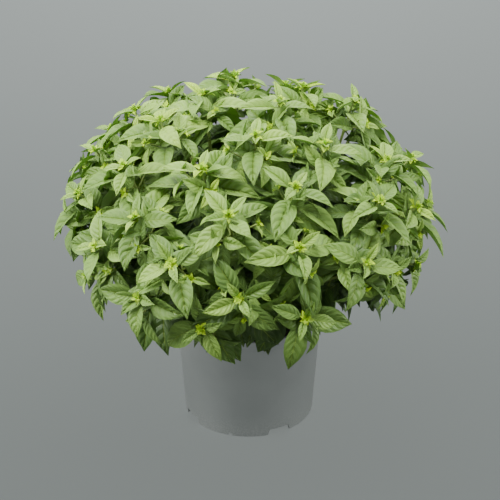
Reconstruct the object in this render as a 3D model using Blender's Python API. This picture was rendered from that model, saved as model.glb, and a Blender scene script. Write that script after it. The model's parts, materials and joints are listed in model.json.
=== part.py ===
"""Potted basil plant: a thin nursery pot, its soil, five forking plant stems and fifty leafy shoots.

Metres, +Z up. The origin is on the floor, under the middle of the pot and of the round crown of leaves.
"""

import math
import random

import bmesh
import bpy
from mathutils import Quaternion, Vector
from mathutils.bvhtree import BVHTree

GAP = 0.0003  # between pieces that touch in the real plant

# Pot: a turned shell on a skirt, with drain notches round its foot
POT_HEIGHT = 0.110
POT_BASE_RADIUS = 0.0620
POT_NECK_RADIUS = 0.0690
LIP_RADIUS = 0.0705
LIP_HEIGHT = 0.009
WALL = 0.0014
SKIRT_HEIGHT = 0.007
SKIRT_WALL = 0.0022
FLOOR_THICKNESS = 0.0016
POT_SIDES = 48
NOTCH_TURNS = 4
WIDE_NOTCH = (math.radians(28), 0.0062)  # first notch's middle, clear height
WIDE_NOTCH_SPAN = 0.026
SMALL_NOTCH = (math.radians(73), 0.0025)
SMALL_NOTCH_SPAN = 0.006
DRAIN_HOLE_RADIUS = 0.0045
DRAIN_RING_RADIUS = 0.046

# Soil
SOIL_BELOW_LIP = 0.013
SOIL_CROWN = 0.002
SOCKET_DEPTH = 0.015
SOCKET_RADIUS = 0.0040

# Crown of leaves: shoot tips on a squashed dome over the pot, turning by the golden angle
STEMS = 5
TIERS = 10
DOME_CENTRE_Z = 0.211
DOME_RADIUS = 0.1785
DOME_RISE = 0.121
DOME_EDGE = math.radians(107)  # from the top of the dome to its lowest shoots
GOLDEN_ANGLE = math.pi * (3 - math.sqrt(5))
FIRST_ANGLE = math.radians(0)
CROWN_SEED = 11
SWAY = 0.16  # a shoot's random turn round the crown, as a share of the gap to its neighbour
DEPTHS = (0.95, 1.0)  # how far out on the dome a shoot's tip may be
LIGHT_PULL = 0.34  # how far a shoot turns from square to the dome towards the light

# Stems and branches, square as basil's are
STEM_RING_RADIUS = 0.024
STEM_HALF = 0.0024
BRANCH_HALF = 0.0016
FORK_HEIGHTS = (0.119, 0.134, 0.151, 0.170, 0.192)  # lowest fork first, above the floor
BRANCH_STEPS = 3

# Shoots: height up the shoot, leaf length, leaf width, rise at the stalk, rise at the tip, outline
SHOOT_LENGTH = 0.048
SHOOT_HALF = 0.0012
LONG_LEAF = ((0.16, 0.12), (0.50, 1.00), (0.80, 0.62))  # share of length, share of width
SHORT_LEAF = ((0.45, 1.00), (0.80, 0.60))
LEAF_PAIRS = (
    (0.015, 0.052, 0.023, math.radians(24), math.radians(-38), LONG_LEAF),
    (0.031, 0.040, 0.018, math.radians(34), math.radians(-22), SHORT_LEAF),
    (0.042, 0.020, 0.009, math.radians(54), math.radians(24), SHORT_LEAF),
)
LEAF_FOLD = 0.22  # how far a leaf's halves rise from its midrib, per half width
LEAF_THICKNESS = 0.0010
TWIST_TRIES = 18
SIZE_TRIES = (1.0, 0.93, 0.86, 0.79, 0.72, 0.65, 0.58)


def clear_scene():
    for obj in list(bpy.data.objects):
        bpy.data.objects.remove(obj)


def material(name, colour, roughness):
    made = bpy.data.materials.new(name)
    made.use_nodes = True
    shader = made.node_tree.nodes["Principled BSDF"]
    shader.inputs["Base Color"].default_value = (*colour, 1.0)
    shader.inputs["Roughness"].default_value = roughness
    shader.inputs["Metallic"].default_value = 0.0
    return made


def add_object(name, mesh, finish=None):
    obj = bpy.data.objects.new(name, mesh)
    bpy.context.scene.collection.objects.link(obj)
    if finish:
        mesh.materials.append(finish)
    return obj


def mesh_from(bm, name):
    bmesh.ops.recalc_face_normals(bm, faces=bm.faces)
    mesh = bpy.data.meshes.new(name)
    bm.to_mesh(mesh)
    bm.free()
    return mesh


def polar(radius, angle, height):
    return Vector((radius * math.cos(angle), radius * math.sin(angle), height))


# ---------------------------------------------------------------- pot and soil


def turned(name, profile, sides):
    """A closed solid of revolution. The profile runs from the axis, round the section, back to the axis."""
    bm = bmesh.new()
    corners = [bm.verts.new((radius, 0, height)) for radius, height in profile]
    edges = [bm.edges.new(pair) for pair in zip(corners, corners[1:])]
    bmesh.ops.spin(
        bm,
        geom=corners + edges,
        axis=(0, 0, 1),
        cent=(0, 0, 0),
        steps=sides,
        angle=math.tau,
    )
    bmesh.ops.remove_doubles(bm, verts=bm.verts, dist=1e-6)
    return mesh_from(bm, name)


def wall_radius(height):
    """The pot's outer radius at a height above the floor."""
    share = height / (POT_HEIGHT - LIP_HEIGHT)
    return POT_BASE_RADIUS + (POT_NECK_RADIUS - POT_BASE_RADIUS) * min(share, 1)


def block_cutter(name, span, height, angle):
    """A cutter through the skirt at one angle, from below the foot up to a height."""
    bm = bmesh.new()
    bmesh.ops.create_cube(bm, size=1)
    depth = 0.012
    below = 0.002
    bmesh.ops.scale(bm, vec=(depth, span, height + below), verts=bm.verts)
    obj = add_object(name, mesh_from(bm, name))
    obj.location = polar(POT_BASE_RADIUS, angle, (height - below) / 2)
    obj.rotation_euler.z = angle
    return obj


def pin_cutter(name, radius, centre, length, sides=16):
    bm = bmesh.new()
    bmesh.ops.create_cone(
        bm,
        cap_ends=True,
        segments=sides,
        radius1=radius,
        radius2=radius,
        depth=length,
    )
    obj = add_object(name, mesh_from(bm, name))
    obj.location = centre
    return obj


def cut(obj, cutter):
    cutter.hide_render = True
    cutter.display_type = "WIRE"
    boolean = obj.modifiers.new(cutter.name, "BOOLEAN")
    boolean.operation = "DIFFERENCE"
    boolean.object = cutter


def make_pot(finish):
    neck = POT_HEIGHT - LIP_HEIGHT
    floor_top = SKIRT_HEIGHT + FLOOR_THICKNESS
    profile = [
        (0, SKIRT_HEIGHT),
        (POT_BASE_RADIUS - SKIRT_WALL, SKIRT_HEIGHT),
        (POT_BASE_RADIUS - SKIRT_WALL, 0),
        (POT_BASE_RADIUS - 0.0004, 0),
        (POT_BASE_RADIUS, 0.0006),
        (wall_radius(neck - 0.001), neck - 0.001),
        (LIP_RADIUS - 0.0003, neck),
        (LIP_RADIUS, neck + 0.001),
        (LIP_RADIUS, POT_HEIGHT - 0.0008),
        (LIP_RADIUS - 0.0008, POT_HEIGHT),
        (POT_NECK_RADIUS - WALL + 0.0006, POT_HEIGHT),
        (POT_NECK_RADIUS - WALL, POT_HEIGHT - 0.0010),
        (POT_NECK_RADIUS - WALL, neck),
        (wall_radius(floor_top) - WALL, floor_top),
        (0, floor_top),
    ]
    pot = add_object("pot", turned("pot", profile, POT_SIDES), finish)
    pot.data.shade_smooth()
    pot.data.set_sharp_from_angle(angle=math.radians(30))
    for turn in range(NOTCH_TURNS):
        quarter = turn * math.tau / NOTCH_TURNS
        for kind, (angle, height), span in (
            ("wide_notch", WIDE_NOTCH, WIDE_NOTCH_SPAN),
            ("small_notch", SMALL_NOTCH, SMALL_NOTCH_SPAN),
        ):
            cut(pot, block_cutter(f"{kind}_{turn}", span, height, angle + quarter - math.pi / 2))
        hole_at = polar(DRAIN_RING_RADIUS, WIDE_NOTCH[0] + quarter - math.pi / 2, SKIRT_HEIGHT)
        cut(pot, pin_cutter(f"drain_hole_{turn}", DRAIN_HOLE_RADIUS, hole_at, 4 * FLOOR_THICKNESS))
    return pot


def stem_angle(stem):
    return math.radians(20) + stem * math.tau / STEMS


def soil_top():
    return POT_HEIGHT - SOIL_BELOW_LIP


def make_soil(finish):
    bottom = SKIRT_HEIGHT + FLOOR_THICKNESS + GAP
    top = soil_top()
    edge = wall_radius(top) - WALL - 2 * GAP
    profile = [
        (0, bottom),
        (wall_radius(bottom) - WALL - 2 * GAP, bottom),
        (edge, top - SOIL_CROWN),
        (0.6 * edge, top),
        (0, top),
    ]
    soil = add_object("soil", turned("soil", profile, POT_SIDES // 2), finish)
    for stem in range(STEMS):
        middle = polar(STEM_RING_RADIUS, stem_angle(stem), top)
        cut(soil, pin_cutter(f"socket_{stem}", SOCKET_RADIUS, middle, 2 * SOCKET_DEPTH, 12))
    return soil


# ------------------------------------------------- growing by extruding a face


def corner_signs(face, across, up):
    """Which side of the face's middle each of its corners lies on, along two directions."""
    middle = face.calc_center_median()
    return [
        (
            1 if (vert.co - middle).dot(across) > 0 else -1,
            1 if (vert.co - middle).dot(up) > 0 else -1,
        )
        for vert in face.verts
    ]


def extrude_to(bm, face, points):
    grown = bmesh.ops.extrude_discrete_faces(bm, faces=[face])["faces"][0]
    for vert, point in zip(grown.verts, points):
        vert.co = point
    return grown


def square(centre, across, up, half, signs):
    return [centre + (across * a + up * b) * half for a, b in signs]


def start_prism(bm, low, high, across, up, half):
    """A short square prism from low to high, as (side faces, end face)."""
    order = ((-1, -1), (1, -1), (1, 1), (-1, 1))
    bottom = [bm.verts.new(point) for point in square(low, across, up, half, order)]
    top = [bm.verts.new(point) for point in square(high, across, up, half, order)]
    bm.faces.new(bottom[::-1])
    end = bm.faces.new(top)
    sides = [
        bm.faces.new((bottom[i], bottom[(i + 1) % 4], top[(i + 1) % 4], top[i])) for i in range(4)
    ]
    return sides, end


def side_faces(bm, before, end):
    """The faces added since before, apart from the end."""
    return [face for face in bm.faces if face not in before and face is not end]


def face_towards(faces, direction):
    return max(faces, key=lambda face: face.calc_center_median().dot(direction))


# --------------------------------------------------------------------- shoots


def grow_leaf(bm, face, outward, size, pair):
    """Extrudes a stem's side face into a folded leaf that arches over as it goes out."""
    _, length, width, rise_start, rise_end, outline = pair
    up = Vector((0, 0, 1))
    across = up.cross(outward)
    signs = corner_signs(face, across, up)
    point = face.calc_center_median()
    done = 0.0
    for share, width_share in outline + ((1.0, 0.0),):
        rise = rise_start + (rise_end - rise_start) * (done + share) / 2
        step = length * size * (share - done)
        point = point + (outward * math.cos(rise) + up * math.sin(rise)) * step
        done = share
        rise = rise_start + (rise_end - rise_start) * share
        normal = up * math.cos(rise) - outward * math.sin(rise)
        half = width * size / 2 * width_share
        margin = normal * half * LEAF_FOLD
        corner = {
            (-1, 1): point - across * half + margin,
            (1, 1): point + normal * LEAF_THICKNESS / 2,
            (1, -1): point + across * half + margin,
            (-1, -1): point - normal * LEAF_THICKNESS / 2,
        }
        face = extrude_to(bm, face, [corner[sign] for sign in signs])
    bmesh.ops.pointmerge(bm, verts=face.verts, merge_co=point)


def shoot_mesh(size):
    """One shoot along +Z from its base: a square stalk, three crossed pairs of leaves and a bud."""
    bm = bmesh.new()
    axis = Vector((0, 0, 1))
    across, up = Vector((1, 0, 0)), Vector((0, 1, 0))
    band = SHOOT_HALF
    heights = [pair[0] * size for pair in LEAF_PAIRS]
    _, end = start_prism(bm, axis * 0, axis * (heights[0] - band), across, up, SHOOT_HALF)
    bases = []
    for height in heights:
        signs = corner_signs(end, across, up)
        if height > heights[0]:
            end = extrude_to(bm, end, square(axis * (height - band), across, up, SHOOT_HALF, signs))
        before = set(bm.faces) - {end}
        end = extrude_to(bm, end, square(axis * (height + band), across, up, SHOOT_HALF, signs))
        bases.append(side_faces(bm, before, end))
    bud = axis * SHOOT_LENGTH * size
    end = extrude_to(bm, end, [bud] * 4)
    bmesh.ops.pointmerge(bm, verts=end.verts, merge_co=bud)
    for turn, (faces, pair) in enumerate(zip(bases, LEAF_PAIRS)):
        ways = [polar(1, turn * math.pi / 2 + side, 0) for side in (0, math.pi)]
        for face, outward in [(face_towards(faces, way), way) for way in ways]:
            grow_leaf(bm, face, outward, size, pair)
    bmesh.ops.triangulate(bm, faces=bm.faces)
    return mesh_from(bm, "shoot")


def shoot_seats():
    """(base, way it grows) of each shoot, from the top of the crown down."""
    chance = random.Random(CROWN_SEED)
    count = STEMS * TIERS
    seats = []
    for index in range(count):
        level = 1 - (index + 0.5) / count * (1 - math.cos(DOME_EDGE))
        flat = math.sqrt(1 - level * level)
        sway = SWAY * chance.uniform(-1, 1) * math.sqrt(4 * math.pi / count) / flat
        depth = chance.uniform(*DEPTHS)
        angle = FIRST_ANGLE + index * GOLDEN_ANGLE + sway
        tip = polar(DOME_RADIUS * flat, angle, DOME_RISE * level) * depth
        outward = polar(flat / DOME_RADIUS, angle, level / DOME_RISE).normalized()
        facing = outward.lerp(Vector((0, 0, 1)), LIGHT_PULL).normalized()
        seats.append((Vector((0, 0, DOME_CENTRE_Z)) + tip - facing * SHOOT_LENGTH, facing))
    return seats


def tree_of(mesh, base=Vector(), turn=Quaternion()):
    points = [base + turn @ vert.co for vert in mesh.vertices]
    return BVHTree.FromPolygons(points, [tuple(face.vertices) for face in mesh.polygons])


def make_shoots(seats, trees, finish):
    """A shoot on each seat, turned or made smaller until it clears the stems and the shoots before it."""
    meshes = {size: shoot_mesh(size) for size in SIZE_TRIES}
    for mesh in meshes.values():
        mesh.materials.append(finish)
    for number, (base, facing) in enumerate(seats, 1):
        upright = facing.to_track_quat("Z", "Y")
        for size, twist in [(size, twist) for size in SIZE_TRIES for twist in range(TWIST_TRIES)]:
            turn = upright @ Quaternion((0, 0, 1), twist * math.pi / TWIST_TRIES)
            tree = tree_of(meshes[size], base, turn)
            if not any(tree.overlap(other) for other in trees):
                break
        trees.append(tree)
        shoot = add_object(f"shoot_{number:02d}", meshes[size])
        shoot.location = base
        shoot.rotation_mode = "QUATERNION"
        shoot.rotation_quaternion = turn


# ---------------------------------------------------------------------- stems


def bezier(points, share):
    """A point on the curve with these four control points."""
    a, b, c, d = points
    rest = 1 - share
    return a * rest**3 + b * 3 * rest**2 * share + c * 3 * rest * share**2 + d * share**3


def grow_tube(bm, face, path, way_end, half_end):
    """Extrudes a four-sided face along a path, easing it to half_end and turning it to face way_end."""
    middle = face.calc_center_median()
    face.normal_update()
    way = face.normal.copy()
    corners = [vert.co - middle for vert in face.verts]
    half_start = corners[0].length / math.sqrt(2)
    stops = [middle] + path
    for step, point in enumerate(path, 1):
        ahead = way_end if step == len(path) else (stops[step + 1] - stops[step - 1]).normalized()
        turn = way.rotation_difference(ahead)
        corners = [turn @ corner for corner in corners]
        way = ahead
        half = half_start + (half_end - half_start) * step / len(path)
        face = extrude_to(bm, face, [point + corner * half / half_start for corner in corners])


def share_out(seats):
    """The seats of each stem, one from each tier, matched by the side of the pot that they are on."""
    shares = [[] for _ in range(STEMS)]
    for tier in range(TIERS):
        ring = seats[tier * STEMS : (tier + 1) * STEMS]
        ring.sort(key=lambda seat: math.atan2(seat[0].y, seat[0].x))
        shifts = [ring[shift:] + ring[:shift] for shift in range(STEMS)]
        best = min(shifts, key=strain)
        for share, seat in zip(shares, best):
            share.append(seat)
    return shares


def strain(ring):
    """How far the stems would have to lean to reach these seats, in stem order."""
    return sum((seat[0] - polar(0.1, stem_angle(i), 0.2)).length for i, seat in enumerate(ring))


def stem_mesh(stem, seats):
    """A trunk from the soil to its highest shoot, with crossed pairs of branches to the others."""
    bm = bmesh.new()
    root = polar(STEM_RING_RADIUS, stem_angle(stem), soil_top() - SOCKET_DEPTH + GAP)
    crown_base, crown_facing = seats[0]
    crown = crown_base - crown_facing * GAP
    radial = polar(1, stem_angle(stem), 0)
    tangent = Vector((-radial.y, radial.x, 0))
    knee = Vector((root.x, root.y, soil_top()))
    lean = [knee, knee + Vector((0, 0, 0.05)), crown - crown_facing * 0.05, crown]

    def trunk_at(height):
        """The trunk's middle at a height, found by halving."""
        low, high = 0.0, 1.0
        for _ in range(30):
            middle = (low + high) / 2
            low, high = (middle, high) if bezier(lean, middle).z < height else (low, middle)
        return bezier(lean, low)

    _, end = start_prism(bm, root, knee, radial, tangent, STEM_HALF)
    forks = []
    for level, height in enumerate(FORK_HEIGHTS):
        half = STEM_HALF + (BRANCH_HALF - STEM_HALF) * level / len(FORK_HEIGHTS)
        signs = corner_signs(end, radial, tangent)
        low, high = trunk_at(height - BRANCH_HALF), trunk_at(height + BRANCH_HALF)
        end = extrude_to(bm, end, square(low, radial, tangent, half, signs))
        before = set(bm.faces) - {end}
        end = extrude_to(bm, end, square(high, radial, tangent, half, signs))
        forks.append((side_faces(bm, before, end), (low + high) / 2))
    top = [trunk_at(FORK_HEIGHTS[-1] + (crown.z - FORK_HEIGHTS[-1]) * s / 4) for s in (1, 2, 3)]
    grow_tube(bm, end, top + [crown], crown_facing, SHOOT_HALF)
    grow_branches(bm, forks, seats[1:], radial, tangent)
    bmesh.ops.triangulate(bm, faces=bm.faces)
    return mesh_from(bm, f"stem_{stem + 1}")


def grow_branches(bm, forks, seats, radial, tangent):
    """Two branches from opposite sides of each fork, the next fork's pair across them."""
    waiting = seats[::-1]  # lowest first
    for level, (faces, middle) in enumerate(forks):
        pair, waiting = waiting[:2], waiting[2:]
        direction = tangent if level % 2 == 0 else radial
        pair.sort(key=lambda seat: (seat[0] - middle).dot(direction))
        ways = (-direction, direction) if len(pair) == 2 else (radial,)
        starts = [face_towards(faces, way) for way in ways]
        for (base, facing), way, face in zip(pair, ways, starts):
            start = face.calc_center_median()
            finish = base - facing * GAP
            reach = (finish - start).length
            curve = [
                start,
                start + (way + Vector((0, 0, 0.6))).normalized() * reach * 0.25,
                finish - facing * reach * 0.35,
                finish,
            ]
            path = [bezier(curve, (step + 1) / BRANCH_STEPS) for step in range(BRANCH_STEPS)]
            grow_tube(bm, face, path, facing, SHOOT_HALF)


def make_stems(seats, finish):
    """The stems, and a search tree of each, for the shoots to keep clear of."""
    trees = []
    for stem, share in enumerate(share_out(seats)):
        mesh = stem_mesh(stem, share)
        add_object(f"stem_{stem + 1}", mesh, finish)
        trees.append(tree_of(mesh))
    return trees


def main():
    clear_scene()
    plastic = material("pot_plastic", (0.13, 0.145, 0.135), 0.45)
    peat = material("peat", (0.035, 0.022, 0.014), 0.95)
    green_stem = material("green_stem", (0.16, 0.26, 0.06), 0.55)
    leaf = material("basil_leaf", (0.20, 0.33, 0.08), 0.5)
    pot = make_pot(plastic)
    make_soil(peat)
    seats = shoot_seats()
    trees = make_stems(seats, green_stem)
    make_shoots(seats, trees + [tree_of(pot.data)], leaf)


main()
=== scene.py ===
"""Looks of the potted basil: every shoot in full leaf, the moulded pot, the peat, and a studio."""

import json
import math
import random

import bmesh
import bpy
from mathutils import Matrix, Vector

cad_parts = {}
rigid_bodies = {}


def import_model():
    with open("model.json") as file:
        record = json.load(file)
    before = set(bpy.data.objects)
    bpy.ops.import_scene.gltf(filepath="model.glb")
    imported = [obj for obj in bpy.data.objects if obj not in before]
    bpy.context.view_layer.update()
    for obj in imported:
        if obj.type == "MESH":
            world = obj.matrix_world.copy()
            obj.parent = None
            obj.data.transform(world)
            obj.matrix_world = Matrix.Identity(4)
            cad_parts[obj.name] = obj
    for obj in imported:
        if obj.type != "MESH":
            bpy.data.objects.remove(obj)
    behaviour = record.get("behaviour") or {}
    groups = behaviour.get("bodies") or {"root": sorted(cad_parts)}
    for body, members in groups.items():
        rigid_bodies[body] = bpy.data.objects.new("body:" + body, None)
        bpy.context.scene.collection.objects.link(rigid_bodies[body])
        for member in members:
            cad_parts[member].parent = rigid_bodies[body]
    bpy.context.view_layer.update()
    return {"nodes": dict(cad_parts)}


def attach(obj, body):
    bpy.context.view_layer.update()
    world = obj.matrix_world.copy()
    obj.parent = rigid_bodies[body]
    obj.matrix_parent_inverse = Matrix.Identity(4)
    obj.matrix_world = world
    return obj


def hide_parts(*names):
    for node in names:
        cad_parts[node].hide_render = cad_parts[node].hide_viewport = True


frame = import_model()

MM = 0.001

# The crown's layout, as the frame has it: fifty shoots on a squashed dome
STEMS = 5
TIERS = 10
DOME_CENTRE_Z = 0.211
DOME_RADIUS = 0.1785
DOME_RISE = 0.121
DOME_EDGE = math.radians(107)
GOLDEN_ANGLE = math.pi * (3 - math.sqrt(5))
CROWN_SEED = 11
SWAY = 0.16  # how far a shoot stands off its even place, as a share of their spacing
DEPTHS = (0.95, 1.0)  # how deep in the crown the tips may lie, as shares of its radius
LIGHT_PULL = 0.34  # how far a shoot turns from straight out of the crown to straight up
SHOOT_LENGTH = 0.048

# Leaf outlines: share of the length, and half width there as a share of the widest
BROAD = (
    (0.00, 0.055),
    (0.10, 0.075),
    (0.17, 0.36),
    (0.27, 0.71),
    (0.39, 0.94),
    (0.51, 1.00),
    (0.64, 0.87),
    (0.77, 0.60),
    (0.89, 0.27),
    (1.00, 0.015),
)
NARROW = (
    (0.00, 0.20),
    (0.22, 0.72),
    (0.45, 1.00),
    (0.72, 0.66),
    (1.00, 0.03),
)
LEAF_THICKNESS = 0.3 * MM
LATERAL_VEINS = 8
FULL_LENGTH = 0.05  # of a fully grown leaf; shorter ones have shallower veins
MARGIN_WAVE = 0.012  # height of the waves along a margin, as a share of the width
ASIDE = 3  # metres; rows of a leaf already shaped wait this far off

# (rise, widening) of each step up a stalk of 1 unit: it swells at each leaf joint
STALK_STEPS = (
    (0.10, 0.94),
    (0.12, 1.1),
    (0.06, 1.25),
    (0.06, 0.72),
    (0.24, 0.95),
    (0.05, 1.3),
    (0.05, 0.7),
    (0.18, 0.9),
    (0.04, 1.2),
    (0.08, 0.5),
)

# Turn of a leaf pair from the one below; a bud's pairs turn a little further
CROSSED = math.pi / 2
BUD_TWIST = 0.4
SHOOT_SAG = 0.25  # radians that a shoot's grown leaves hang back
CROWN_SAG = 0.06  # more of it at the very top
SIDE_SAG = 0.15
SHOOT_SEED = 1000

# Pot, as the frame has it: a thin wall on a notched skirt
POT_HEIGHT = 0.110
POT_BASE_RADIUS = 0.0620
POT_NECK_RADIUS = 0.0690
LIP_RADIUS = 0.0705
LIP_HEIGHT = 0.009
WALL = 0.0014
SKIRT_HEIGHT = 0.007
SKIRT_WALL = 0.0022
FLOOR_THICKNESS = 0.0016
POT_SIDES = 128
NOTCH_TURNS = 4
# First notch of each kind: its angle from the front, its span and its clear height
WIDE_NOTCH = (math.radians(28), 0.026, 0.0062)
SMALL_NOTCH = (math.radians(73), 0.006, 0.0025)
DRAIN_HOLE_RADIUS = 0.0045
DRAIN_RING_RADIUS = 0.046
SOIL_TOP = 0.097
PEAT_GAP = 0.6 * MM  # between the peat and the pot's wall
CRUMBS = 70
CRUMB_SEED = 77

# Old leaves on each plant stem, besides those of its shoots
INNER_LEAVES = 64
INNER_SEED = 2000
INNER_FACES_FROM = 0.118  # lowest middle of a face that bears leaves
INNER_LEAVES_FROM = 0.112  # lowest place of a leaf
INNER_LENGTHS = (0.040, 0.056)

CAMERA_ELEVATION = math.radians(28.5)
CAMERA_DISTANCE = 2.0
CAMERA_TARGET = Vector((0.001, 0, 0.170))
FRAME_WIDTH = 0.4725  # how much of the target's plane the view takes in, across

FLOOR_RADIUS = 9.0
SKY_COLOUR = (0.93, 0.97, 1.0, 1)
SKY_STRENGTH = 0.33
DAYLIGHT = 1.3  # on the floor alone, which has its own light so that nothing shades it

# What each lamp lights, its name, place, aim, size and watts
LAMPS = (
    ("potted_plant", "top_softbox", (-0.30, -0.26, 1.55), (0, 0, 0.2), 1.1, 52.0),
    ("potted_plant", "front_fill", (0.4, -1.9, 0.4), (0, 0, 0.1), 1.2, 8.5),
    ("leafage", "back_glow", (0.0, 1.3, 1.4), (0, 0, 0.25), 1.2, 38.0),
    ("potware", "back_pot_fill", (0.0, 1.3, 1.4), (0, 0, 0.1), 1.2, 13.0),
    ("leafage", "left_softbox", (-1.35, -0.1, 0.55), (0, 0, 0.18), 0.9, 36.0),
    ("leafage", "right_softbox", (1.35, 0.0, 0.55), (0, 0, 0.18), 0.9, 27.0),
    ("potware", "left_pot_fill", (-1.4, -0.2, 0.34), (0, 0, 0.06), 0.9, 12.5),
    ("potware", "right_pot_fill", (1.4, -0.1, 0.34), (0, 0, 0.06), 0.9, 6.5),
    ("ground", "floor_wash", (0.0, 1.50, 1.3), (0, 1.3, 0.0), 1.2, 29.5),
)


# ------------------------------------------------------------ modelling by hand


def deselect():
    if bpy.context.object and bpy.context.object.mode != "OBJECT":
        bpy.ops.object.mode_set(mode="OBJECT")
    bpy.ops.object.select_all(action="DESELECT")


def begin_edit():
    bpy.ops.object.mode_set(mode="EDIT")
    bpy.ops.mesh.select_mode(type="VERT")


def end_edit():
    bpy.ops.object.mode_set(mode="OBJECT")


def pick(test):
    """In edit mode, selects the points that pass a test, and the edges and faces between them."""
    bm = bmesh.from_edit_mesh(bpy.context.object.data)
    for vert in bm.verts:
        vert.select_set(False)
    bm.select_flush(False)
    for vert in bm.verts:
        if test(vert.co):
            vert.select_set(True)
    bm.select_flush(True)
    bmesh.update_edit_mesh(bpy.context.object.data)


def near(value, target, reach=1e-5):
    return abs(value - target) < reach


# ---------------------------------------------------------------------- leaves


def leaf_pattern(name, outline, columns, length, width, fold, droop, curl, sweep, seed):
    """One leaf along +X from its stalk, its upper face up, folded at the midrib and arched over.

    fold is how far its margins rise per half width, droop the angle that it turns down through,
    curl the extra turn of its tip, and sweep how far the tip swings to one side.
    """
    chance = random.Random(seed)
    rows = len(outline) - 1
    deselect()
    bpy.ops.mesh.primitive_grid_add(
        x_subdivisions=rows, y_subdivisions=columns, size=1, location=(0.5, 0, 0)
    )
    leaf = bpy.context.object
    bpy.ops.object.transform_apply(location=True, rotation=False, scale=False)
    leaf.name = name
    begin_edit()
    half = width / 2
    for row in range(rows, -1, -1):  # from the tip back, so that no row lands on one still to move
        share, breadth = outline[row]
        here = row / rows
        pick(lambda co: near(co.x, here, 1e-4))
        bpy.ops.transform.resize(value=(1, 2 * half * breadth, 1), center_override=(here, 0, 0))
        bpy.ops.transform.translate(value=(ASIDE + share * length - here, 0, 0))
    pick(lambda co: True)
    bpy.ops.transform.translate(value=(-ASIDE, 0, 0))
    for row, (share, breadth) in enumerate(outline):
        here = share * length
        span = half * breadth
        upward = 1 if row % 2 else -1
        waved = 0.2 < share < 0.95
        wave = MARGIN_WAVE * width * upward * waved * chance.uniform(0.2, 1.0)
        pick(lambda co: near(co.x, here) and near(abs(co.y), span, 1e-6 + span * 0.02))
        bpy.ops.transform.translate(value=(0, 0, span * fold * 0.92 + wave))
        if columns == 4:
            pick(lambda co: near(co.x, here) and near(abs(co.y), span / 2, 1e-6 + span * 0.02))
            bpy.ops.transform.translate(value=(0, 0, span * (fold * 0.60 + 0.09) - wave * 0.6))
    sew_underside(width)
    bend(outline, length, droop, curl, sweep)
    end_edit()
    bpy.ops.object.shade_smooth_by_angle(angle=math.radians(70))
    return leaf


def sew_underside(width):
    """In edit mode, a copy of the leaf turned over under it and sewn to it along the margin."""
    bpy.ops.mesh.select_all(action="SELECT")
    bpy.ops.mesh.duplicate()
    bpy.ops.mesh.flip_normals()
    bm = bmesh.from_edit_mesh(bpy.context.object.data)
    inner = {vert for vert in bm.verts if vert.select and not vert.is_boundary}
    for face in bm.faces:
        if face.select:
            face.material_index = 1
    for vert in bm.verts:
        vert.select_set(False)
    bm.select_flush(False)
    for vert in inner:
        vert.select_set(True)
    bm.select_flush(True)
    bmesh.update_edit_mesh(bpy.context.object.data)
    bpy.ops.transform.translate(value=(0, 0, -LEAF_THICKNESS))
    bpy.ops.mesh.select_all(action="SELECT")
    bpy.ops.mesh.remove_doubles(threshold=1e-6)


def bend(outline, length, droop, curl, sweep):
    """In edit mode, turns all that lies beyond each row a little further, from the tip back."""
    for row in range(len(outline) - 2, 0, -1):
        share = outline[row][0]
        step = outline[row + 1][0] - outline[row - 1][0]
        here = share * length
        turn = (droop + curl * max(0.0, share - 0.6) * 3) * step / 2
        pick(lambda co: co.x > here + 1e-6)
        pivot = (here, 0, 0)
        bpy.ops.transform.rotate(value=-turn, orient_axis="Y", center_override=pivot)
        bpy.ops.transform.rotate(value=sweep * step / 2, orient_axis="Z", center_override=pivot)


# (length, width, fold, droop, curl, sweep) in mm and degrees
OLD_LEAVES = (
    (54, 24, 0.30, 48, 15, 8),
    (52, 23, 0.20, 62, 10, -14),
    (56, 24, 0.40, 38, 25, -6),
    (50, 25, 0.26, 54, 14, 16),
)
GROWN_LEAVES = (
    (50, 20.5, 0.44, 40, 12, 10),
    (48, 19.5, 0.56, 28, 22, -8),
    (50, 21.5, 0.34, 50, 6, -14),
    (47, 19.5, 0.50, 24, 16, 4),
    (52, 19.0, 0.64, 34, 14, 14),
    (49, 21.0, 0.40, 16, 26, -16),
)
YOUNG_LEAVES = (
    (40, 14.5, 0.58, 28, 22, 6),
    (40, 15.0, 0.46, 40, 14, -8),
    (40, 13.5, 0.70, 20, 28, 2),
)
BUD_LEAVES = (
    (20, 11.5, 0.55, 30, 30, 4),
    (20, 10.5, 0.70, 46, 20, -6),
)


def leaf_patterns(kind, outline, columns, sizes, finishes):
    """The patterns of one kind of leaf, each in its finishes."""
    made = []
    for number, (length, width, fold, droop, curl, sweep) in enumerate(sizes):
        leaf = leaf_pattern(
            f"{kind}_pattern_{number}",
            outline,
            columns,
            length * MM,
            width * MM,
            fold,
            math.radians(droop),
            math.radians(curl),
            math.radians(sweep),
            seed=number,
        )
        for finish in finishes:
            leaf.data.materials.append(finish)
        made.append((leaf, length * MM))
    return made


def stalk_pattern(finishes):
    """A shoot's square stalk, 1 unit long, waisted between its three leaf joints."""
    deselect()
    bpy.ops.mesh.primitive_cube_add(size=1, location=(0, 0, 0))
    stalk = bpy.context.object
    begin_edit()
    bpy.ops.mesh.select_all(action="SELECT")
    bpy.ops.transform.resize(value=(0.05, 0.05, 0.02), center_override=(0, 0, 0))
    bpy.ops.transform.translate(value=(0, 0, 0.01))
    pick(lambda co: co.z > 0.015)
    for rise, widening in STALK_STEPS:
        bpy.ops.mesh.extrude_region_move(TRANSFORM_OT_translate={"value": (0, 0, rise)})
        bpy.ops.transform.resize(value=(widening, widening, 1))
    end_edit()
    stalk.name = "stalk_pattern"
    edges = stalk.modifiers.new("round", "BEVEL")
    edges.width = 0.008
    edges.segments = 2
    edges.limit_method = "ANGLE"
    edges.angle_limit = math.radians(50)
    bpy.ops.object.modifier_apply(modifier="round")
    bpy.ops.object.shade_smooth_by_angle(angle=math.radians(50))
    for finish in finishes:
        stalk.data.materials.append(finish)
    return stalk


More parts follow.
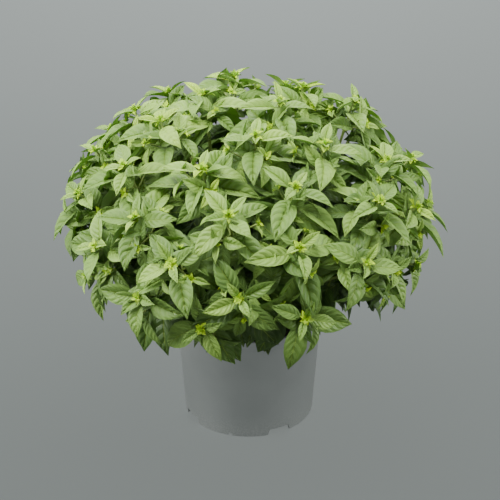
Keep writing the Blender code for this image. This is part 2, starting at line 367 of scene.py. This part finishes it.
# ------------------------------------------------------------------- materials


def polar(radius, angle, height):
    return Vector((radius * math.cos(angle), radius * math.sin(angle), height))


class Graph:
    """A material's nodes, added one after another."""

    def __init__(self, name):
        self.material = bpy.data.materials.new(name)
        self.material.use_nodes = True
        self.nodes = self.material.node_tree.nodes
        self.links = self.material.node_tree.links
        self.shader = self.nodes["Principled BSDF"]
        self.output = self.nodes["Material Output"]

    def add(self, kind, settings=None, **inputs):
        node = self.nodes.new(kind)
        for key, value in (settings or {}).items():
            setattr(node, key, value)
        for key, value in inputs.items():
            self.feed(node.inputs[key.replace("_", " ")], value)
        return node

    def feed(self, socket, value):
        if isinstance(value, bpy.types.NodeSocket):
            self.links.new(value, socket)
        else:
            socket.default_value = value

    def math(self, operation, *values):
        node = self.add("ShaderNodeMath", {"operation": operation})
        for socket, value in zip(node.inputs, values):
            self.feed(socket, value)
        return node.outputs[0]

    def band(self, value, low, high, out_low=0.0, out_high=1.0):
        """value from low to high, eased to the range out_low to out_high."""
        node = self.add("ShaderNodeMapRange", {"interpolation_type": "SMOOTHSTEP"})
        for socket, given in zip(node.inputs, (value, low, high, out_low, out_high)):
            self.feed(socket, given)
        return node.outputs[0]

    def blend(self, share, first, second):
        node = self.add("ShaderNodeMix", {"data_type": "RGBA"})
        self.feed(node.inputs["Factor"], share)
        self.feed(node.inputs["A"], first)
        self.feed(node.inputs["B"], second)
        return node.outputs["Result"]

    def ramp(self, value, stops):
        node = self.add("ShaderNodeValToRGB", Fac=value)
        elements = node.color_ramp.elements
        while len(elements) < len(stops):
            elements.new(0.5)
        for element, (place, colour) in zip(elements, stops):
            element.position = place
            element.color = (*colour, 1)
        return node.outputs["Color"]

    def noise(self, scale, detail=3.0, roughness=0.5):
        node = self.add("ShaderNodeTexNoise", Scale=scale, Detail=detail, Roughness=roughness)
        self.feed(node.inputs["Vector"], self.object_space())
        return node.outputs["Fac"]

    def object_space(self):
        return self.add("ShaderNodeTexCoord").outputs["Object"]

    def bump(self, height, strength, distance):
        node = self.add("ShaderNodeBump", Height=height, Strength=strength, Distance=distance)
        return node.outputs[0]


# Leaf green by age, from the oldest at 0 to the buds at 1; the tone fed to it also holds painted
# light, paler for shoots high up and facing up, darker low down
LEAF_TONES = (
    (0.00, (0.033, 0.063, 0.019)),
    (0.30, (0.088, 0.172, 0.036)),
    (0.58, (0.207, 0.357, 0.072)),
    (0.82, (0.345, 0.540, 0.095)),
    (1.00, (0.575, 0.830, 0.025)),
)


def leaf_finish(name, under):
    """Leaf green by age and painted light, with sunken arching veins above and raised ones on a
    paler underside.
    """
    graph = Graph(name)
    uv = graph.add("ShaderNodeUVMap", {"uv_map": "UVMap"}).outputs["UV"]
    parts = graph.add("ShaderNodeSeparateXYZ", Vector=uv)
    along, over = parts.outputs["X"], parts.outputs["Y"]
    across = graph.math("MULTIPLY", graph.math("ABSOLUTE", graph.math("SUBTRACT", over, 0.5)), 2.0)
    lean = graph.math("MULTIPLY", graph.math("POWER", across, 1.25), 1.5)
    order = graph.math("SUBTRACT", graph.math("MULTIPLY", along, LATERAL_VEINS), lean)
    swell = graph.math("MULTIPLY", graph.math("PINGPONG", order, 0.5), 2.0)
    side_vein = graph.math("MULTIPLY", graph.band(swell, 0.22, 0.0), graph.band(across, 1.0, 0.7))
    midrib = graph.band(across, graph.math("ADD", 0.05, graph.math("MULTIPLY", along, 0.05)), 0.0)
    stalk = graph.band(along, 0.17, 0.08)
    main_vein = graph.math("MAXIMUM", midrib, stalk)
    veins = graph.math("MAXIMUM", graph.math("MULTIPLY", side_vein, 0.38), main_vein)
    # leaf tone: age, and painted light from the shoot's height and facing
    age = graph.add("ShaderNodeAttribute", {"attribute_name": "youth_and_painted_light"}).outputs["Fac"]
    mottle = graph.noise(90.0, 4.0, 0.55)
    tone = graph.math("ADD", age, graph.math("MULTIPLY", graph.math("SUBTRACT", mottle, 0.5), 0.22))
    green = graph.ramp(tone, LEAF_TONES)
    pale = graph.blend(0.5, green, (0.48, 0.66, 0.09, 1))
    colour = graph.blend(graph.math("MULTIPLY", veins, 0.75), green, pale)
    if under:
        colour = graph.blend(0.30, colour, (0.36, 0.45, 0.24, 1))
    fine = graph.noise(1400.0, 2.0, 0.6)
    growth = graph.add("ShaderNodeAttribute", {"attribute_name": "growth"}).outputs["Fac"]
    relief = graph.math("MULTIPLY", graph.math("POWER", swell, 0.7), graph.band(across, 1.0, 0.6))
    relief = graph.math("SUBTRACT", relief, graph.math("MULTIPLY", midrib, 0.5))
    relief = graph.math("MULTIPLY", relief, growth)
    relief = graph.math("ADD", relief, graph.math("MULTIPLY", fine, 0.15))
    shader = graph.shader
    graph.feed(shader.inputs["Base Color"], colour)
    graph.feed(shader.inputs["Roughness"], graph.band(mottle, 0.3, 0.7, 0.42, 0.56))
    shader.inputs["Specular IOR Level"].default_value = 0.31
    normal = graph.bump(relief, 0.9 if not under else -0.6, 1.1 * MM)
    graph.feed(shader.inputs["Normal"], normal)
    through = graph.blend(0.6, colour, (0.28, 0.50, 0.02, 1))
    glow = graph.add("ShaderNodeBsdfTranslucent", Color=through)
    graph.feed(glow.inputs["Normal"], normal)
    mixed = graph.add("ShaderNodeMixShader", Fac=0.36)
    graph.links.new(shader.outputs["BSDF"], mixed.inputs[1])
    graph.links.new(glow.outputs["BSDF"], mixed.inputs[2])
    graph.links.new(mixed.outputs["Shader"], graph.output.inputs["Surface"])
    return graph.material


def stalk_finish():
    graph = Graph("green_stalk")
    streak = graph.noise(160.0, 3.0, 0.6)
    colour = graph.ramp(streak, ((0.3, (0.17, 0.26, 0.05)), (0.7, (0.36, 0.46, 0.12))))
    graph.feed(graph.shader.inputs["Base Color"], colour)
    graph.feed(graph.shader.inputs["Roughness"], graph.band(streak, 0.3, 0.7, 0.42, 0.55))
    graph.feed(graph.shader.inputs["Normal"], graph.bump(graph.noise(900.0), 0.3, 0.3 * MM))
    return graph.material


def pot_finish():
    """Grey moulded plastic: faint clouding, fine grain, a little dust near the foot."""
    graph = Graph("moulded_plastic")
    cloud = graph.noise(14.0, 4.0, 0.55)
    grain = graph.noise(700.0, 3.0, 0.6)
    height = graph.add("ShaderNodeSeparateXYZ", Vector=graph.object_space()).outputs["Z"]
    colour = graph.ramp(cloud, ((0.25, (0.215, 0.232, 0.222)), (0.75, (0.270, 0.288, 0.276))))
    dust = graph.math("MULTIPLY", graph.band(height, 0.03, 0.0), graph.band(grain, 0.4, 0.65))
    colour = graph.blend(graph.math("MULTIPLY", dust, 0.35), colour, (0.38, 0.39, 0.37, 1))
    graph.feed(graph.shader.inputs["Base Color"], colour)
    graph.feed(graph.shader.inputs["Roughness"], graph.band(cloud, 0.2, 0.8, 0.38, 0.52))
    graph.feed(graph.shader.inputs["Normal"], graph.bump(grain, 0.18, 0.15 * MM))
    return graph.material


def peat_finish():
    graph = Graph("damp_peat")
    crumb = graph.noise(260.0, 6.0, 0.7)
    fibre = graph.noise(60.0, 4.0, 0.6)
    browns = (
        (0.3, (0.022, 0.014, 0.009)),
        (0.55, (0.070, 0.042, 0.025)),
        (0.8, (0.17, 0.11, 0.065)),
    )
    colour = graph.ramp(crumb, browns)
    graph.feed(graph.shader.inputs["Base Color"], colour)
    graph.feed(graph.shader.inputs["Roughness"], graph.band(fibre, 0.3, 0.7, 0.75, 0.95))
    graph.feed(graph.shader.inputs["Normal"], graph.bump(crumb, 0.9, 2.0 * MM))
    return graph.material


def studio_finish():
    graph = Graph("studio_paper")
    cloud = graph.noise(0.8, 3.0, 0.5)
    colour = graph.ramp(cloud, ((0.3, (0.214, 0.236, 0.228)), (0.7, (0.234, 0.257, 0.248))))
    graph.feed(graph.shader.inputs["Base Color"], colour)
    graph.feed(graph.shader.inputs["Roughness"], graph.band(cloud, 0.3, 0.7, 0.8, 0.9))
    graph.shader.inputs["Specular IOR Level"].default_value = 0.2
    return graph.material


# --------------------------------------------------------------------- shoots


def shoot_seats():
    """(base, way it grows) of each shoot, from the top of the crown down."""
    chance = random.Random(CROWN_SEED)
    count = STEMS * TIERS
    seats = []
    for index in range(count):
        level = 1 - (index + 0.5) / count * (1 - math.cos(DOME_EDGE))
        flat = math.sqrt(1 - level * level)
        sway = SWAY * chance.uniform(-1, 1) * math.sqrt(4 * math.pi / count) / flat
        depth = chance.uniform(*DEPTHS)
        angle = index * GOLDEN_ANGLE + sway
        tip = polar(DOME_RADIUS * flat, angle, DOME_RISE * level) * depth
        outward = polar(flat / DOME_RADIUS, angle, level / DOME_RISE).normalized()
        facing = outward.lerp(Vector((0, 0, 1)), LIGHT_PULL).normalized()
        seats.append((Vector((0, 0, DOME_CENTRE_Z)) + tip - facing * SHOOT_LENGTH, facing))
    return seats


def copy_of(pattern, place, youth_and_painted_light):
    """A copy of a pattern with its own mesh, set in its place, and given the leaf tone asked for:
    age, with painted light where the shoot's place adds it.
    """
    mesh = pattern.data.copy()
    mesh.transform(place)
    growth = place.to_scale().x * pattern.dimensions.x / FULL_LENGTH
    for name, value in (("youth_and_painted_light", youth_and_painted_light), ("growth", growth)):
        measure = mesh.attributes.new(name, "FLOAT", "POINT")
        measure.data.foreach_set("value", [value] * len(mesh.vertices))
    piece = bpy.data.objects.new("copy", mesh)
    bpy.context.scene.collection.objects.link(piece)
    return piece


def aim(facing, twist):
    """The turn that stands +Z along facing, twisted about it."""
    return facing.to_track_quat("Z", "Y").to_matrix().to_4x4() @ Matrix.Rotation(twist, 4, "Z")


def leaf_at(kinds, kind, chance, stem, height, turn, rise, length, youth_and_painted_light):
    """A leaf at a height up a stem, turned about it, rising at an angle, at a length."""
    pattern, pattern_length = chance.choice(kinds[kind])
    size = length / pattern_length
    place = (
        stem
        @ Matrix.Translation((0, 0, height))
        @ Matrix.Rotation(turn, 4, "Z")
        @ Matrix.Rotation(-rise, 4, "Y")
        @ Matrix.Rotation(chance.uniform(-0.35, 0.35), 4, "X")
        @ Matrix.Diagonal((size, size * chance.uniform(0.9, 1.08), size, 1))
    )
    return copy_of(pattern, place, youth_and_painted_light)


def leaf_pairs(kinds, chance, stem, reach, pairs, youth_and_painted_light, sag=0.0):
    """Crossed pairs of leaves up a stalk, each pair as the tables below give it."""
    pieces = []
    for number, (share, kind, length, rise, age) in enumerate(pairs):
        for side in (0, math.pi):
            turn = number * (CROSSED + BUD_TWIST * (kind == "bud")) + side
            turn += chance.uniform(-0.2, 0.2)
            lift = math.radians(rise) + chance.uniform(-0.15, 0.15) - sag * (kind == "grown")
            size = length * MM * chance.uniform(0.86, 1.1)
            shade = youth_and_painted_light + age + chance.uniform(-0.13, 0.13)
            height = reach * share
            pieces.append(leaf_at(kinds, kind, chance, stem, height, turn, lift, size, shade))
    return pieces


# Pairs of leaves up a stalk: share of its height, kind, length in mm, rise in degrees, youth
MAIN_PAIRS = (
    (0.42, "grown", 52, 18, -0.14),
    (0.65, "grown", 48, 25, -0.04),
    (0.79, "grown", 37, 32, 0.04),
    (0.86, "young", 24, 38, 0.12),
    (0.885, "bud", 11, 22, 0.30),
    (0.895, "bud", 8.5, 46, 0.42),
    (0.905, "bud", 7.5, 8, 0.42),
    (0.915, "bud", 7, 60, 0.50),
    (0.925, "bud", 6.5, 28, 0.50),
    (0.935, "bud", 6, 72, 0.54),
    (0.945, "bud", 5.5, 46, 0.54),
    (0.955, "bud", 5, 82, 0.56),
)
SIDE_PAIRS = (
    (0.46, "grown", 40, 16, -0.08),
    (0.72, "grown", 31, 26, 0.0),
    (0.86, "young", 18, 36, 0.10),
    (0.91, "bud", 8, 28, 0.34),
    (0.94, "bud", 6.5, 48, 0.46),
    (0.96, "bud", 5, 68, 0.50),
)
OLD_PAIRS = (
    (-0.02, "old", 54, 14, -0.24),
    (-0.38, "old", 54, 8, -0.36),
    (-0.80, "old", 52, 2, -0.48),
    (-1.25, "old", 50, 0, -0.56),
)


def grow_shoot(number, seat, kinds, stalk):
    """All of one shoot: its rosette, two or three side shoots, and the old leaves below."""
    base, facing = seat
    chance = random.Random(SHOOT_SEED + number)
    stem = Matrix.Translation(base) @ aim(facing, chance.uniform(0, math.tau))
    # painted light in the tone: shoots higher up and facing up are paler, lower ones darker, as
    # light from above would make them
    youth_and_painted_light = 0.40 + 0.30 * (base.z - 0.12) / 0.2 + 0.06 * facing.z + chance.uniform(-0.05, 0.05)
    pieces = [copy_of(stalk, stem @ Matrix.Scale(SHOOT_LENGTH * 0.96, 4), youth_and_painted_light)]
    crown = max(0.0, facing.z - 0.72) / 0.28  # 0 down the sides, 1 at the very top
    sag = SHOOT_SAG + CROWN_SAG * crown
    pieces += leaf_pairs(kinds, chance, stem, SHOOT_LENGTH, MAIN_PAIRS, youth_and_painted_light, sag)
    sides = (0, math.tau / 3, math.tau * 2 / 3) if facing.z > 0.4 else (0, math.pi)
    for side in sides:
        lean = (
            stem
            @ Matrix.Translation((0, 0, SHOOT_LENGTH * 0.28))
            @ Matrix.Rotation(side + chance.uniform(-0.2, 0.2), 4, "Z")
            @ Matrix.Rotation(math.radians(chance.uniform(42, 58)), 4, "Y")
            @ Matrix.Rotation(chance.uniform(0, math.pi), 4, "Z")
        )
        reach = chance.uniform(0.022, 0.031)
        pieces.append(copy_of(stalk, lean @ Matrix.Scale(reach, 4), youth_and_painted_light))
        pieces += leaf_pairs(kinds, chance, lean, reach, SIDE_PAIRS, youth_and_painted_light - 0.04, SIDE_SAG)
    pieces += leaf_pairs(kinds, chance, stem, SHOOT_LENGTH, OLD_PAIRS, youth_and_painted_light)
    shoot = joined(f"leafy_shoot_{number:02d}", pieces)
    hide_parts(f"shoot_{number:02d}")


def joined(name, pieces):
    """The pieces as one, named, which moves with the plant."""
    deselect()
    for piece in pieces:
        piece.select_set(True)
    bpy.context.view_layer.objects.active = pieces[0]
    bpy.ops.object.join()
    whole = bpy.context.object
    whole.name = name
    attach(whole, "root")
    return whole


def spot_on(mesh, face, chance):
    """A point somewhere on a three-cornered face."""
    a, b, c = (mesh.vertices[index].co for index in face.vertices)
    first, second = sorted((chance.random(), chance.random()))
    return a * first + b * (second - first) + c * (1 - second)


def leaves_inside(number, kinds):
    """The old leaves all along one plant stem and its branches, each on the stem's side, in the
    darkest greens: old leaf colour, and painted shade for the gaps deep in the crown.
    """
    mesh = frame["nodes"][f"stem_{number}"].data
    chance = random.Random(INNER_SEED + number)
    sides = [
        face
        for face in mesh.polygons
        if face.center.z > INNER_FACES_FROM and abs(face.normal.z) < 0.9
    ]
    areas = [face.area for face in sides]
    pieces = []
    for face in chance.choices(sides, areas, k=INNER_LEAVES):
        spot = spot_on(mesh, face, chance)
        if spot.z < INNER_LEAVES_FROM:
            continue
        away = Vector((spot.x, spot.y, 0)).normalized()
        way = (face.normal + away * 0.5 + Vector((0, 0, chance.uniform(0.0, 0.5)))).normalized()
        side = Vector((0, 0, 1)).cross(way).normalized()
        place = Matrix((way, side, way.cross(side))).transposed().to_4x4()
        place.translation = spot
        pattern, pattern_length = chance.choice(kinds["old"])
        size = chance.uniform(*INNER_LENGTHS) / pattern_length
        # tone near the darkest end: old leaves, and painted shade in the crown's gaps
        pieces.append(copy_of(pattern, place @ Matrix.Scale(size, 4), chance.uniform(0.0, 0.16)))
    joined(f"inner_leaves_{number}", pieces)


def make_leaves():
    top = leaf_finish("leaf_upper", under=False)
    under = leaf_finish("leaf_under", under=True)
    stalk_green = stalk_finish()
    finishes = (top, under)
    kinds = {
        "old": leaf_patterns("old", BROAD, 4, OLD_LEAVES, finishes),
        "grown": leaf_patterns("grown", BROAD, 4, GROWN_LEAVES, finishes),
        "young": leaf_patterns("young", BROAD, 4, YOUNG_LEAVES, finishes),
        "bud": leaf_patterns("bud", NARROW, 2, BUD_LEAVES, finishes),
    }
    stalk = stalk_pattern((stalk_green,))
    for number, seat in enumerate(shoot_seats(), 1):
        grow_shoot(number, seat, kinds, stalk)
    for number in range(1, STEMS + 1):
        leaves_inside(number, kinds)
        finish_node(f"stem_{number}", stalk_green)
    for pattern in [leaf for made in kinds.values() for leaf, _ in made] + [stalk]:
        bpy.data.objects.remove(pattern)


def finish_node(node, finish):
    """A CAD node keeps its shape and takes a better finish."""
    materials = frame["nodes"][node].data.materials
    materials.clear()
    materials.append(finish)


# --------------------------------------------------------------- pot and peat


def turned(name, rings, sides):
    """A closed turned body, extruded ring by ring, each (radius, height), from end to end."""
    deselect()
    radius, height = rings[0]
    bpy.ops.mesh.primitive_circle_add(
        vertices=sides, radius=radius, fill_type="NGON", location=(0, 0, height)
    )
    body = bpy.context.object
    bpy.ops.object.transform_apply(location=True, rotation=False, scale=False)
    body.name = name
    begin_edit()
    bpy.ops.mesh.select_all(action="SELECT")
    for next_radius, next_height in rings[1:]:
        step = next_height - height
        bpy.ops.mesh.extrude_region_move(TRANSFORM_OT_translate={"value": (0, 0, step)})
        share = next_radius / radius
        bpy.ops.transform.resize(value=(share, share, 1), center_override=(0, 0, next_height))
        radius, height = next_radius, next_height
    bpy.ops.mesh.select_all(action="SELECT")
    bpy.ops.mesh.normals_make_consistent(inside=False)
    end_edit()
    return body


def wall_radius(height):
    """Radius of the pot's outer wall at a height."""
    neck = POT_HEIGHT - LIP_HEIGHT
    return POT_BASE_RADIUS + (POT_NECK_RADIUS - POT_BASE_RADIUS) * height / neck


def cut(body, cutter):
    """Cuts the cutter's shape out of the body, and puts the cutter away."""
    deselect()
    body.select_set(True)
    bpy.context.view_layer.objects.active = body
    boolean = body.modifiers.new("cut", "BOOLEAN")
    boolean.operation = "DIFFERENCE"
    boolean.solver = "EXACT"
    boolean.object = cutter
    bpy.ops.object.modifier_apply(modifier="cut")
    bpy.data.objects.remove(cutter)


def notch_cutter(angle, span, height):
    """A block through the skirt, its two upper corners sloped in as a moulded notch's are."""
    deselect()
    bpy.ops.mesh.primitive_cube_add(size=1, location=(0, 0, 0))
    block = bpy.context.object
    begin_edit()
    bpy.ops.mesh.select_all(action="SELECT")
    bpy.ops.transform.resize(value=(0.012, span, height + 0.004), center_override=(0, 0, 0))
    bpy.ops.transform.translate(value=(POT_BASE_RADIUS, 0, (height - 0.004) / 2))
    pick(lambda co: co.z > 0)
    narrowed = 1 - 0.9 * height / span
    pivot = (POT_BASE_RADIUS, 0, height)
    bpy.ops.transform.resize(value=(1, narrowed, 1), center_override=pivot)
    bpy.ops.mesh.select_all(action="SELECT")
    bpy.ops.transform.rotate(value=-angle, orient_axis="Z", center_override=(0, 0, 0))
    end_edit()
    return block


def hole_cutter(angle):
    deselect()
    place = polar(DRAIN_RING_RADIUS, angle, SKIRT_HEIGHT)
    bpy.ops.mesh.primitive_cylinder_add(
        vertices=32, radius=DRAIN_HOLE_RADIUS, depth=4 * FLOOR_THICKNESS, location=place
    )
    return bpy.context.object


def make_pot():
    neck = POT_HEIGHT - LIP_HEIGHT
    floor_top = SKIRT_HEIGHT + FLOOR_THICKNESS
    inner = POT_NECK_RADIUS - WALL
    rings = [
        (0.0040, SKIRT_HEIGHT + 0.0006),
        (0.0046, SKIRT_HEIGHT),
        (0.0300, SKIRT_HEIGHT),
        (0.0304, SKIRT_HEIGHT - 0.0005),
        (0.0316, SKIRT_HEIGHT - 0.0005),
        (0.0320, SKIRT_HEIGHT),
        (POT_BASE_RADIUS - SKIRT_WALL - 0.0008, SKIRT_HEIGHT),
        (POT_BASE_RADIUS - SKIRT_WALL, SKIRT_HEIGHT - 0.0008),
        (POT_BASE_RADIUS - SKIRT_WALL, 0.0004),
        (POT_BASE_RADIUS - SKIRT_WALL + 0.0004, 0),
        (POT_BASE_RADIUS - 0.0006, 0),
        (POT_BASE_RADIUS - 0.0001, 0.0003),
        (POT_BASE_RADIUS, 0.0008),
        (wall_radius(SKIRT_HEIGHT), SKIRT_HEIGHT),
        (wall_radius(0.035), 0.035),
        (wall_radius(0.065), 0.065),
        (wall_radius(neck - 0.0016), neck - 0.0016),
        (wall_radius(neck) - 0.0002, neck - 0.0004),
        (LIP_RADIUS - 0.0004, neck),
        (LIP_RADIUS, neck + 0.0005),
        (LIP_RADIUS, POT_HEIGHT - 0.0010),
        (LIP_RADIUS - 0.0003, POT_HEIGHT - 0.0003),
        (LIP_RADIUS - 0.0010, POT_HEIGHT),
        (inner + 0.0008, POT_HEIGHT),
        (inner + 0.0002, POT_HEIGHT - 0.0003),
        (inner, POT_HEIGHT - 0.0010),
        (inner, neck),
        (wall_radius(SOIL_TOP) - WALL, SOIL_TOP),
        (wall_radius(floor_top) - WALL, floor_top + 0.0006),
        (wall_radius(floor_top) - WALL - 0.0006, floor_top),
    ]
    pot = turned("moulded_pot", rings, POT_SIDES)
    for turn in range(NOTCH_TURNS):
        quarter = turn * math.tau / NOTCH_TURNS - math.pi / 2
        for angle, span, height in (WIDE_NOTCH, SMALL_NOTCH):
            cut(pot, notch_cutter(angle + quarter, span, height))
        cut(pot, hole_cutter(WIDE_NOTCH[0] + quarter))
    bpy.ops.object.shade_smooth_by_angle(angle=math.radians(32))
    pot.data.materials.clear()
    pot.data.materials.append(pot_finish())
    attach(pot, "root")
    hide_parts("pot")


def make_peat():
    """The potting peat: one crumbly body, and loose crumbs lying on it."""
    bottom = SKIRT_HEIGHT + FLOOR_THICKNESS + 0.0003
    edge = wall_radius(SOIL_TOP) - WALL - PEAT_GAP
    rings = [(wall_radius(bottom) - WALL - PEAT_GAP, bottom), (edge, SOIL_TOP - 0.003)]
    rings += [(edge * share, SOIL_TOP - 0.003 * share) for share in (0.985, 0.94)]
    rings += [(edge * step / 22, SOIL_TOP - 0.002 * step / 22) for step in range(20, 0, -1)]
    peat = turned("crumbly_peat", rings, 96)
    top = peat.vertex_groups.new(name="top")
    raised = [vert.index for vert in peat.data.vertices if vert.co.z > SOIL_TOP - 0.0029]
    top.add(raised, 1.0, "REPLACE")
    for name, size, strength in (("lumps", 0.016, 3.4), ("crumbs", 0.005, 2.0)):
        clouds = bpy.data.textures.new(name, "CLOUDS")
        clouds.noise_scale = size
        swell = peat.modifiers.new(name, "DISPLACE")
        swell.texture = clouds
        swell.texture_coords = "LOCAL"
        swell.direction = "Z"
        swell.mid_level = 0.5
        swell.strength = strength * MM
        swell.vertex_group = "top"
        bpy.ops.object.modifier_apply(modifier=name)
    bpy.ops.object.shade_smooth_by_angle(angle=math.radians(60))
    crumb = crumb_pattern()
    chance = random.Random(CRUMB_SEED)
    pieces = [peat]
    for _ in range(CRUMBS):
        radius = edge * 0.96 * math.sqrt(chance.random())
        spot = polar(radius, chance.uniform(0, math.tau), SOIL_TOP)
        angle = chance.uniform(0, math.tau)
        turn = Matrix.Rotation(angle, 4, Vector((chance.random(), 1, chance.random())))
        size = chance.uniform(0.8, 2.4) * MM
        pieces.append(copy_of(crumb, Matrix.Translation(spot) @ turn @ Matrix.Scale(size, 4), 0.0))
    bpy.data.objects.remove(crumb)
    whole = joined("peat", pieces)
    whole.data.materials.clear()
    whole.data.materials.append(peat_finish())
    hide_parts("soil")


def crumb_pattern():
    """One crumb of peat, 2 units across, roughened from a ball of few faces."""
    deselect()
    bpy.ops.mesh.primitive_ico_sphere_add(subdivisions=2, radius=1, location=(0, 0, 0))
    crumb = bpy.context.object
    begin_edit()
    bpy.ops.mesh.select_all(action="SELECT")
    bpy.ops.transform.resize(value=(1.2, 0.8, 0.7), center_override=(0, 0, 0))
    bpy.ops.transform.vertex_random(offset=0.22, seed=3)
    end_edit()
    return crumb


# -------------------------------------------------------------------- studio


def make_studio():
    """A pale floor with light of its own, soft boxes round the plant, and an even grey sky."""
    deselect()
    bpy.ops.mesh.primitive_circle_add(
        vertices=96, radius=FLOOR_RADIUS, fill_type="NGON", location=(0, 0, -0.0002)
    )
    floor = bpy.context.object
    bpy.ops.object.transform_apply(location=True, rotation=False, scale=False)
    floor.name = "studio_floor"
    floor.data.materials.append(studio_finish())
    world = bpy.data.worlds.new("studio_air")
    bpy.context.scene.world = world
    world.use_nodes = True
    sky = world.node_tree.nodes["Background"]
    sky.inputs["Color"].default_value = SKY_COLOUR
    sky.inputs["Strength"].default_value = SKY_STRENGTH
    groups = ("potted_plant", "leafage", "potware", "ground")
    lit = {group: bpy.data.collections.new(group) for group in groups}
    for thing in bpy.data.objects:
        if thing.type == "MESH" and thing is not floor:
            lit["potted_plant"].objects.link(thing)
            lit["potware" if thing.name == "moulded_pot" else "leafage"].objects.link(thing)
    lit["ground"].objects.link(floor)
    for group, name, place, target, size, power in LAMPS:
        light_only(softbox(name, place, target, size, power), lit[group], group == "ground")
    sun = bpy.data.lights.new("floor_daylight", "SUN")
    sun.energy = DAYLIGHT
    daylight = bpy.data.objects.new("floor_daylight", sun)
    bpy.context.scene.collection.objects.link(daylight)
    light_only(daylight, lit["ground"], unshaded=True)


def light_only(lamp, group, unshaded):
    """The lamp lights one group of things, and if unshaded only they can shade it."""
    lamp.light_linking.receiver_collection = group
    if unshaded:
        lamp.light_linking.blocker_collection = group


def softbox(name, place, target, size, power):
    light = bpy.data.lights.new(name, "AREA")
    light.shape = "DISK"
    light.size = size
    light.energy = power
    lamp = bpy.data.objects.new(name, light)
    lamp.location = place
    lamp.rotation_euler = (Vector(target) - Vector(place)).to_track_quat("-Z", "Y").to_euler()
    bpy.context.scene.collection.objects.link(lamp)
    return lamp


def make_camera():
    lens = bpy.data.cameras.new("camera")
    lens.sensor_width = 36
    lens.lens = 36 * CAMERA_DISTANCE / FRAME_WIDTH
    lens.clip_start = 0.05
    camera = bpy.data.objects.new("camera", lens)
    away = Vector((0, -math.cos(CAMERA_ELEVATION), math.sin(CAMERA_ELEVATION)))
    camera.location = CAMERA_TARGET + away * CAMERA_DISTANCE
    camera.rotation_euler = away.to_track_quat("Z", "Y").to_euler()
    bpy.context.scene.collection.objects.link(camera)
    bpy.context.scene.camera = camera


def main():
    make_camera()
    make_pot()
    make_peat()
    make_leaves()
    make_studio()


main()
